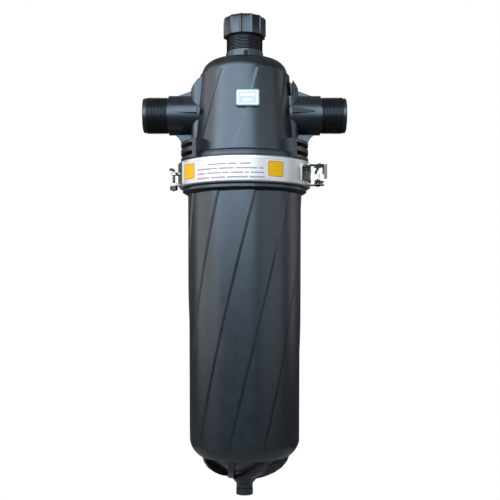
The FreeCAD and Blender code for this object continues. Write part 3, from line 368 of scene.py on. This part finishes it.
def film_finish(name, base, metallic=0.0, roughness=0.38, level=0.3):
    """Thin printed film: nearly flat, with a faint unevenness from the band under it."""
    material, tree, surface = shader(name, Metallic=metallic, Specular_IOR_Level=level)
    drift(tree, surface, rgba(base, 0.95), rgba(base, 1.03), scale=120.0)
    grained = placed(tree, "moulded_grain", {"Grain Scale": 900, "Wave Scale": 60, "Wave Share": 0.8,
                                             "Roughness": roughness, "Spread": 0.1})
    tree.links.new(grained.outputs["Roughness"], surface.inputs["Roughness"])
    bump(tree, surface, grained.outputs["Height"], depth=0.00002)
    return material


# Mesh helpers

def new_piece(name, mesh, finish):
    """Object of a finished bmesh, at the origin, riding on the filter. A slot is the record's name for it."""
    bmesh.ops.recalc_face_normals(mesh, faces=mesh.faces)
    data = bpy.data.meshes.new(name)
    mesh.to_mesh(data)
    mesh.free()
    data.materials.append(finish)
    piece = bpy.data.objects.new(name, data)
    bpy.context.scene.collection.objects.link(piece)
    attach(piece, BODY)
    return piece


def smooth(piece, angle=math.radians(40)):
    piece.data.shade_smooth()
    piece.data.set_sharp_from_angle(angle=angle)


def face_of(mesh, corners):
    return mesh.faces.new([mesh.verts.new(corner) for corner in corners])


def moved_to(vert, reach, kept):
    """Move a point that is this far from Z straight in or out, to the distance kept."""
    vert.co.x *= kept / reach
    vert.co.y *= kept / reach


def helix(mesh, sizes, start, end):
    """Ridge of a pipe thread round Z, from one height to another, fading out at both ends."""
    pitch = sizes.pitch
    sink, rounding, fade = 0.0003, 0.0002, 1.2 * pitch
    sunk, tip = sizes.root - sink, sizes.crest - rounding
    foot, shoulder = 0.47 * pitch, 0.13 * pitch
    middle = start + pitch / 2
    turns = (end - start) / pitch - 1.0
    steps = int(round(turns * sizes.facets))
    profile = face_of(mesh, [(sunk, 0, middle - foot), (tip, 0, middle - shoulder),
                             (sizes.crest, 0, middle), (tip, 0, middle + shoulder),
                             (sunk, 0, middle + foot)])
    bmesh.ops.spin(mesh, geom=[profile, *profile.edges, *profile.verts], cent=(0, 0, 0), axis=(0, 0, 1),
                   dvec=(0, 0, turns * pitch / steps), angle=turns * math.tau, steps=steps)
    for vert in mesh.verts:
        reach = vert.co.xy.length
        room = min(vert.co.z - start, end - vert.co.z) / fade
        moved_to(vert, reach, sunk + (reach - sunk) * max(0.0, min(1.0, room)))


def swept(mesh, outline, start, end, step=math.radians(1.5)):
    """Outline of (radius, height) swept round Z. Angles run from the front towards the outlet."""
    profile = face_of(mesh, [(0, -reach, level) for reach, level in outline])
    bmesh.ops.rotate(mesh, verts=profile.verts, cent=(0, 0, 0), matrix=Matrix.Rotation(start, 3, "Z"))
    bmesh.ops.spin(mesh, geom=[profile, *profile.edges, *profile.verts], cent=(0, 0, 0), axis=(0, 0, 1),
                   angle=end - start, steps=max(2, int(math.ceil((end - start) / step))))


def turned(mesh, outline, steps):
    """Outline of (radius, height) from axis to axis, turned all the way round Z."""
    line = [mesh.verts.new((0, -reach, level)) for reach, level in outline]
    edges = [mesh.edges.new(pair) for pair in zip(line, line[1:])]
    bmesh.ops.spin(mesh, geom=line + edges, cent=(0, 0, 0), axis=(0, 0, 1), angle=math.tau, steps=steps,
                   use_merge=True)
    bmesh.ops.remove_doubles(mesh, verts=mesh.verts, dist=NEAR)


def rounded(mesh, edges, offset, segments=4):
    bmesh.ops.bevel(mesh, geom=edges, offset=offset, segments=segments, profile=0.5, affect="EDGES",
                    material=-1)


def curved_plate(mesh, inner, thickness, low, high, start, end, corner=0.0):
    """Plate bent round Z, with rounded corners: its four sharp edges across the thickness."""
    before = set(mesh.verts)
    swept(mesh, [(inner, low), (inner + thickness, low), (inner + thickness, high), (inner, high)],
          start, end)
    if corner:
        sharp = math.radians(69)
        made = set(mesh.verts) - before
        ends = [edge for edge in mesh.edges
                if edge.verts[0] in made and abs(edge.calc_length() - thickness) < NEAR / 10
                and len(edge.link_faces) == 2 and edge.calc_face_angle() > sharp
                and (edge.verts[0].co - edge.verts[1].co).xy.length > thickness * 0.9]
        rounded(mesh, ends, corner)


# Operators

class FILTER_OT_studio(bpy.types.Operator):
    """Camera, panels of light, and a floor and room that the camera sees as white"""
    bl_idname = "disc_filter.studio"
    bl_label = "Studio"

    def execute(self, context):
        studio = context.scene.filter_studio
        camera = bpy.data.objects.new("camera", bpy.data.cameras.new("camera"))
        camera.data.lens = studio.lens
        camera.data.shift_x = studio.shift_across
        camera.data.shift_y = studio.shift_up
        camera.location = (0, -studio.distance, studio.eye_height)
        camera.rotation_euler = (math.pi / 2, 0, 0)
        context.scene.collection.objects.link(camera)
        context.scene.camera = camera
        panels = {
            "sky_panel": ((-0.8, -1.9, 1.43), (4.0, 1.9), studio.sky_power, (0.7, 0.86, 1.0)),
            "left_panel": ((-2.2, -0.2, 1.0), (2.6, 2.0), studio.side_power * 1.1, (1.0, 0.98, 0.97)),
            "right_panel": ((1.8, -1.3, 0.8), (2.2, 1.6), studio.side_power * 0.5, (0.85, 0.93, 1.0)),
            "far_panel": ((2.1, 0.7, 0.8), (1.0, 1.4), studio.side_power * 0.16, (1.0, 1.0, 1.0)),
        }
        for name, (place, size, power, tint) in panels.items():
            lamp = bpy.data.lights.new(name, "AREA")
            lamp.shape = "RECTANGLE"
            lamp.size, lamp.size_y = size
            lamp.energy = power
            lamp.color = tint
            panel = bpy.data.objects.new(name, lamp)
            panel.location = place
            aim = Vector((0, 0, studio.aim_height)) - Vector(place)
            panel.rotation_euler = aim.to_track_quat("-Z", "Y").to_euler()
            context.scene.collection.objects.link(panel)
        self.light_table(context, studio)
        self.floor(context, studio)
        self.world(context, studio)
        context.scene.view_settings.view_transform = "Standard"
        return {"FINISHED"}

    def light_table(self, context, studio):
        """Weak glow of the white board that the filter stands on."""
        lamp = bpy.data.lights.new("light_table", "AREA")
        lamp.shape = "ELLIPSE"
        lamp.size, lamp.size_y = 0.5, 0.4
        lamp.energy = studio.table_power
        table = bpy.data.objects.new("light_table", lamp)
        table.location = (-0.02, -0.04, 0.0003)
        table.rotation_euler = (math.pi, 0, 0)
        table.visible_camera = False
        context.scene.collection.objects.link(table)

    def seen(self, tree, glossy):
        """Share of the white backdrop that this ray sees."""
        path = add(tree, "ShaderNodeLightPath")
        plain = math_node(tree, "ADD", path.outputs["Is Camera Ray"], path.outputs["Is Transmission Ray"])
        gloss = math_node(tree, "MULTIPLY", path.outputs["Is Glossy Ray"], glossy)
        return math_node(tree, "MINIMUM", math_node(tree, "ADD", plain, gloss), 1.0)

    def floor(self, context, studio):
        """Wide dark floor, just under the filter."""
        mesh = bmesh.new()
        bmesh.ops.create_grid(mesh, x_segments=1, y_segments=1, size=12)
        data = bpy.data.meshes.new("floor")
        mesh.to_mesh(data)
        mesh.free()
        floor = bpy.data.objects.new("floor", data)
        floor.location.z = -0.0005
        context.scene.collection.objects.link(floor)
        material = bpy.data.materials.new("floor_white")
        material.use_nodes = True
        tree = material.node_tree
        tree.nodes.clear()
        lit = add(tree, "ShaderNodeBsdfDiffuse", {"Color": (0.045, 0.047, 0.05, 1)})
        white = add(tree, "ShaderNodeEmission", {"Strength": 1.0})
        mix = add(tree, "ShaderNodeMixShader")
        tree.links.new(self.seen(tree, studio.floor_gloss), mix.inputs[0])
        tree.links.new(lit.outputs[0], mix.inputs[1])
        tree.links.new(white.outputs[0], mix.inputs[2])
        put = add(tree, "ShaderNodeOutputMaterial")
        tree.links.new(mix.outputs[0], put.inputs["Surface"])
        data.materials.append(material)

    def world(self, context, studio):
        """Dim room, white to the camera."""
        world = bpy.data.worlds.new("surroundings")
        context.scene.world = world
        world.use_nodes = True
        tree = world.node_tree
        tree.nodes.clear()
        room = add(tree, "ShaderNodeBackground", {"Color": (0.9, 0.95, 1.0, 1),
                                                  "Strength": studio.room_level})
        white = add(tree, "ShaderNodeBackground", {"Color": (1, 1, 1, 1), "Strength": 1.0})
        mix = add(tree, "ShaderNodeMixShader")
        tree.links.new(self.seen(tree, studio.room_gloss), mix.inputs[0])
        tree.links.new(room.outputs[0], mix.inputs[1])
        tree.links.new(white.outputs[0], mix.inputs[2])
        put = add(tree, "ShaderNodeOutputWorld")
        tree.links.new(mix.outputs[0], put.inputs["Surface"])


class FILTER_OT_finishes(bpy.types.Operator):
    """Finishes of every solid of the filter"""
    bl_idname = "disc_filter.finishes"
    bl_label = "Finishes"

    def execute(self, context):
        tones = context.scene.filter_finishes
        finishes = {
            "black_plastic": moulded("black_plastic", tones.plastic, tones.plastic_dust, tones.sheen),
            "cap_plastic": moulded("cap_plastic", tones.cap, tones.plastic_dust, tones.sheen,
                                   roughness=0.3, level=0.8),
            "stainless": worked_metal("stainless", tones.steel, 0.2),
            "spring_wire": worked_metal("spring_wire", tones.wire, 0.24),
            "pin_steel": worked_metal("pin_steel", tones.pins, 0.34),
            # Threads: a darker, less glossy copy of the black plastic in the cap's tone, as painted shade
            # between the ridges and under the cap
            "thread_plastic_painted_shade": moulded("thread_plastic_painted_shade", tones.cap, tones.plastic_dust, tones.sheen,
                                      roughness=0.42, level=0.5),
            "plate_metal": film_finish("plate_metal", tones.plate, metallic=0.35, roughness=0.42),
            "seal_rubber": rubber_finish("seal_rubber", tones.rubber),
            "disc_plastic": grooved_discs("disc_plastic", tones.discs),
            "inner_plastic": moulded("inner_plastic", tones.inner, tones.plastic_dust, tones.sheen,
                                     grain=1100),
        }
        slots = {row["node"]: row["material_slot"] for row in frame["record"]["subparts"]}
        slots.update(port_cap="cap_plastic", hinge_pin="pin_steel", hinge_nut="pin_steel",
                     latch_pivot_pins="pin_steel", test_point_plug="seal_rubber")
        for name, node in frame["nodes"].items():
            node.data.materials.clear()
            node.data.materials.append(finishes[slots[name]])
        return {"FINISHED"}


class FILTER_OT_port_threads(bpy.types.Operator):
    """Pipe threads on both side ports"""
    bl_idname = "disc_filter.port_threads"
    bl_label = "Side port threads"

    def execute(self, context):
        sizes = context.scene.filter_thread
        for name, turn in (("inlet_thread", -math.pi / 2), ("outlet_thread", math.pi / 2)):
            mesh = bmesh.new()
            helix(mesh, sizes, sizes.port_start, sizes.port_end)
            bmesh.ops.rotate(mesh, verts=mesh.verts, cent=(0, 0, 0), matrix=Matrix.Rotation(turn, 3, "Y"))
            bmesh.ops.translate(mesh, verts=mesh.verts, vec=(0, 0, PORT_HEIGHT))
            # The threads get the darker, duller plastic: painted shade between the ridges
            smooth(new_piece(name, mesh, bpy.data.materials["thread_plastic_painted_shade"]))
        return {"FINISHED"}


class FILTER_OT_neck_thread(bpy.types.Operator):
    """Thread on the top port's neck, under and inside the cap"""
    bl_idname = "disc_filter.neck_thread"
    bl_label = "Neck thread"

    def execute(self, context):
        sizes = context.scene.filter_thread
        mesh = bmesh.new()
        helix(mesh, sizes, sizes.neck_start, sizes.neck_end)
        # The neck thread gets the darker, duller plastic: painted shade between the ridges and under the cap
        smooth(new_piece("neck_thread", mesh, bpy.data.materials["thread_plastic_painted_shade"]))
        return {"FINISHED"}


class FILTER_OT_screw_cap(bpy.types.Operator):
    """Screw cap with flats and ribs for the hand"""
    bl_idname = "disc_filter.screw_cap"
    bl_label = "Screw cap"

    CROWN = 0.72                                                    # share of the radius that is flat on top
    EDGE = ((0.0040, 0.0009), (0.0012, 0.0032), (0.0, 0.0060))      # how far in and how far down
    FOOT_EDGE = ((0.0, 0.0008), (0.0004, 0.0))                      # how far in and how far up
    LIP = 0.0010                                                    # width of the flat foot
    ROOF = 0.033                                                    # top of the hollow over the solid's foot
    HOLLOW = 0.0003                                                 # how far the flats dip in their middle

    def execute(self, context):
        cap = context.scene.filter_cap
        radius, foot = cap.radius, CAP_FOOT + cap.raised
        grip, roof = foot + cap.skirt, CAP_FOOT + self.ROOF
        outline = [(0, CAP_TOP), (radius * self.CROWN, CAP_TOP),
                   *((radius - inward, CAP_TOP - down) for inward, down in self.EDGE),
                   *((radius - inward, grip + up) for inward, up in self.FOOT_EDGE),
                   (cap.bore + self.LIP, foot), (cap.bore, foot), (cap.bore, roof), (0, roof)]
        mesh = bmesh.new()
        turned(mesh, outline, cap.ribs * cap.facets)
        outside, above = radius - self.EDGE[0][0] - 0.0002, grip - 0.0001
        for vert in mesh.verts:
            reach = vert.co.xy.length
            if reach >= outside and vert.co.z >= above:
                moved_to(vert, reach, self.gripped(cap, vert, reach))
        piece = new_piece("grip_cap", mesh, bpy.data.materials["cap_plastic"])
        smooth(piece, math.radians(24))
        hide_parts("port_cap")
        return {"FINISHED"}

    def gripped(self, cap, vert, reach):
        """Distance from Z of a point of the grip: on a narrow rib, or on the flat between two."""
        half = math.pi / cap.ribs
        turn = math.atan2(vert.co.x, -vert.co.y) - cap.turn
        beside = abs((turn + half) % (2 * half) - half)
        if beside < half / 10:
            return reach + cap.rib * 0.4
        dip = self.HOLLOW * math.sin(beside / half * math.pi / 2)
        return reach * math.cos(half) / math.cos(half - beside) - dip - cap.rib * 0.3


class FILTER_OT_clamp_bands(bpy.types.Operator):
    """Both halves of the clamp, rolled from sheet, with a flat face and folded lips"""
    bl_idname = "disc_filter.clamp_bands"
    bl_label = "Clamp bands"

    HALF_ANGLE = math.radians(88)       # from the middle of each half to its end

    def execute(self, context):
        band = context.scene.filter_band
        top, foot = SEAM + band.top, SEAM - band.foot
        inner, tip = BAND_RADIUS - band.sheet, BAND_RADIUS - band.lip
        for name, middle in (("front", 0.0), ("rear", math.pi)):
            mesh = bmesh.new()
            swept(mesh, [(tip, foot), (BAND_RADIUS, foot), (BAND_RADIUS, top), (tip, top),
                         (tip, top - band.sheet), (inner, top - band.sheet),
                         (inner, foot + band.sheet), (tip, foot + band.sheet)],
                  middle - self.HALF_ANGLE, middle + self.HALF_ANGLE)
            outside = (BAND_RADIUS, (foot, top), band.bend)
            inside = (inner, (foot + band.sheet, top - band.sheet), band.bend - band.sheet)
            for reach, levels, bend in (outside, inside):
                folds = [edge for edge in mesh.edges
                         if all(abs(vert.co.xy.length - reach) < NEAR
                                and min(abs(vert.co.z - level) for level in levels) < NEAR
                                for vert in edge.verts) and edge.calc_length() < band.lip]
                rounded(mesh, folds, bend)
            piece = new_piece(f"rolled_band_{name}", mesh, bpy.data.materials["stainless"])
            smooth(piece)
            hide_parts(f"clamp_band_{name}")
        return {"FINISHED"}


class FILTER_OT_clamp_label(bpy.types.Operator):
    """Pale film round the front of the clamp, with two amber fields and rows of plain bars"""
    bl_idname = "disc_filter.clamp_label"
    bl_label = "Clamp label"

    # Angles in degrees, from the front towards the outlet. Each row has its height over the film's middle.
    FIELDS = ((-62.0, -46.4), (19.6, 33.7))
    ROWS = (
        (0.0072, ((-32, -15.5), (-14, -6.5), (-3.5, 5))),
        (0.0003, ((-42.5, -23), (-21.5, -8.5), (-7, 10.5), (12, 15.8))),
        (-0.0066, ((-42.5, -34), (-32.5, -20), (-18.5, -13), (-11.5, -1), (0.5, 3.5), (5, 15.8))),
        (-0.0134, ((-43, -30), (-28.5, -16), (-14.5, 2.5), (4, 16.5))),
    )
    FILM_CORNER, EDGE_CORNER, FIELD_CORNER = 0.0015, 0.003, 0.002
    RULE_INSET, RULE_WIDTH, RULE_MARGIN = 0.0012, 0.0004, math.radians(1.0)

    def execute(self, context):
        label = context.scene.filter_label
        middle = SEAM - label.drop
        low, high = middle - label.half_height, middle + label.half_height
        face = BAND_RADIUS + label.film
        self.printed("label_film", [(low, high, label.start, label.end, self.FILM_CORNER)],
                     BAND_RADIUS - BURIED, label.film + BURIED,
                     film_finish("label_film", label.film_colour, metallic=0.25, roughness=0.32))
        self.printed("label_rule", self.rule(label, low + self.RULE_INSET, high - self.RULE_INSET), face,
                     label.ink, film_finish("label_rule", label.rule))
        edges = [(middle - label.field, middle + label.field, math.radians(left), math.radians(right),
                  self.EDGE_CORNER) for left, right in self.FIELDS]
        self.printed("label_field_edges", edges, face, label.ink, film_finish("label_edge", label.edge))
        inset, aside = label.inset, label.inset / face
        fields = [(bottom + inset, top - inset, left + aside, right - aside, self.FIELD_CORNER)
                  for bottom, top, left, right, _ in edges]
        self.printed("label_fields", fields, face + label.ink, label.ink,
                     film_finish("label_amber", label.amber, level=0.15))
        bars = [(middle + level - label.bar, middle + level + label.bar, math.radians(left),
                 math.radians(right), 0) for level, row in self.ROWS for left, right in row]
        self.printed("label_bars", bars, face, label.ink, film_finish("label_bars", label.bars))
        return {"FINISHED"}

    def rule(self, label, low, high):
        """Four thin strips just inside the film's edge."""
        thin = self.RULE_WIDTH
        side = thin / BAND_RADIUS
        left, right = label.start + self.RULE_MARGIN, label.end - self.RULE_MARGIN
        return [(low, low + thin, left, right, 0), (high - thin, high, left, right, 0),
                (low + thin, high - thin, left, left + side, 0),
                (low + thin, high - thin, right - side, right, 0)]

    def printed(self, name, plates, inner, thickness, finish):
        """One piece of curved plates, each of (low, high, start, end, corner)."""
        mesh = bmesh.new()
        for low, high, start, end, corner in plates:
            curved_plate(mesh, inner, thickness, low, high, start, end, corner)
        smooth(new_piece(name, mesh, finish))


class FILTER_OT_plate_relief(bpy.types.Operator):
    """Raised frame and two plain bars stamped on the head's plate"""
    bl_idname = "disc_filter.plate_relief"
    bl_label = "Plate relief"

    MARGIN, RIM, RISE = 0.0022, 0.0007, 0.00018
    BARS = ((0.72, 0.28, 0.55), (0.45, -0.5, -0.28))    # half width, foot and top, as shares of the frame's

    def execute(self, context):
        plate = frame["nodes"]["head_plate"].data
        faces = [face for face in plate.polygons if face.normal.y < -0.9]
        area = sum(face.area for face in faces)
        out = sum((face.normal * face.area for face in faces), Vector()).normalized()
        middle = sum((face.center * face.area for face in faces), Vector()) / area
        across = Vector((1, 0, 0))
        up = out.cross(across)
        wide = (PLATE_HIGH.x - PLATE_LOW.x) / 2 - self.MARGIN
        tall = (PLATE_HIGH.z - PLATE_LOW.z) / 2 - self.MARGIN
        rim, rise = self.RIM, self.RISE
        bars = [(-wide, wide, tall - rim, tall), (-wide, wide, -tall, -tall + rim),
                (-wide, -wide + rim, -tall + rim, tall - rim), (wide - rim, wide, -tall + rim, tall - rim),
                *((-wide * half, wide * half, tall * foot, tall * top) for half, foot, top in self.BARS)]
        mesh = bmesh.new()
        for left, right, low, high in bars:
            made = bmesh.ops.create_cube(mesh, size=1.0)["verts"]
            for vert in made:
                x = left if vert.co.x < 0 else right
                z = low if vert.co.z < 0 else high
                y = rise if vert.co.y < 0 else -BURIED
                vert.co = middle + across * x + up * z + out * y
        top = [edge for edge in mesh.edges
               if all((vert.co - middle).dot(out) > rise / 2 for vert in edge.verts)]
        rounded(mesh, top, rise * 0.7, segments=2)
        smooth(new_piece("plate_relief", mesh, bpy.data.materials["plate_metal"]))
        return {"FINISHED"}


class FILTER_PT_panel(bpy.types.Panel):
    """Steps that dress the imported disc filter"""
    bl_idname = "FILTER_PT_panel"
    bl_label = "Disc filter"
    bl_space_type = "VIEW_3D"
    bl_region_type = "UI"
    bl_category = "Disc filter"

    def draw(self, context):
        for step in STEPS:
            self.layout.operator(step.bl_idname)
        for settings in SETTINGS:
            box = self.layout.box()
            for name in SETTINGS[settings].__annotations__:
                box.prop(getattr(context.scene, settings), name)


SETTINGS = {
    "filter_studio": FilterStudio,
    "filter_finishes": FilterFinishes,
    "filter_thread": PipeThread,
    "filter_cap": ScrewCap,
    "filter_band": ClampBand,
    "filter_label": ClampLabel,
}
STEPS = (FILTER_OT_studio, FILTER_OT_finishes, FILTER_OT_port_threads, FILTER_OT_neck_thread,
         FILTER_OT_screw_cap, FILTER_OT_clamp_bands, FILTER_OT_clamp_label, FILTER_OT_plate_relief)


def register():
    for settings in SETTINGS.values():
        bpy.utils.register_class(settings)
    for step in (*STEPS, FILTER_PT_panel):
        bpy.utils.register_class(step)
    for name, settings in SETTINGS.items():
        setattr(bpy.types.Scene, name, bpy.props.PointerProperty(type=settings))


def unregister():
    for name in SETTINGS:
        delattr(bpy.types.Scene, name)
    for step in (FILTER_PT_panel, *reversed(STEPS)):
        bpy.utils.unregister_class(step)
    for settings in SETTINGS.values():
        bpy.utils.unregister_class(settings)


def main():
    register()
    bpy.ops.disc_filter.studio()
    bpy.ops.disc_filter.finishes()
    bpy.ops.disc_filter.port_threads()
    bpy.ops.disc_filter.neck_thread()
    bpy.ops.disc_filter.screw_cap()
    bpy.ops.disc_filter.clamp_bands()
    bpy.ops.disc_filter.clamp_label()
    bpy.ops.disc_filter.plate_relief()


if __name__ == "__main__":
    main()
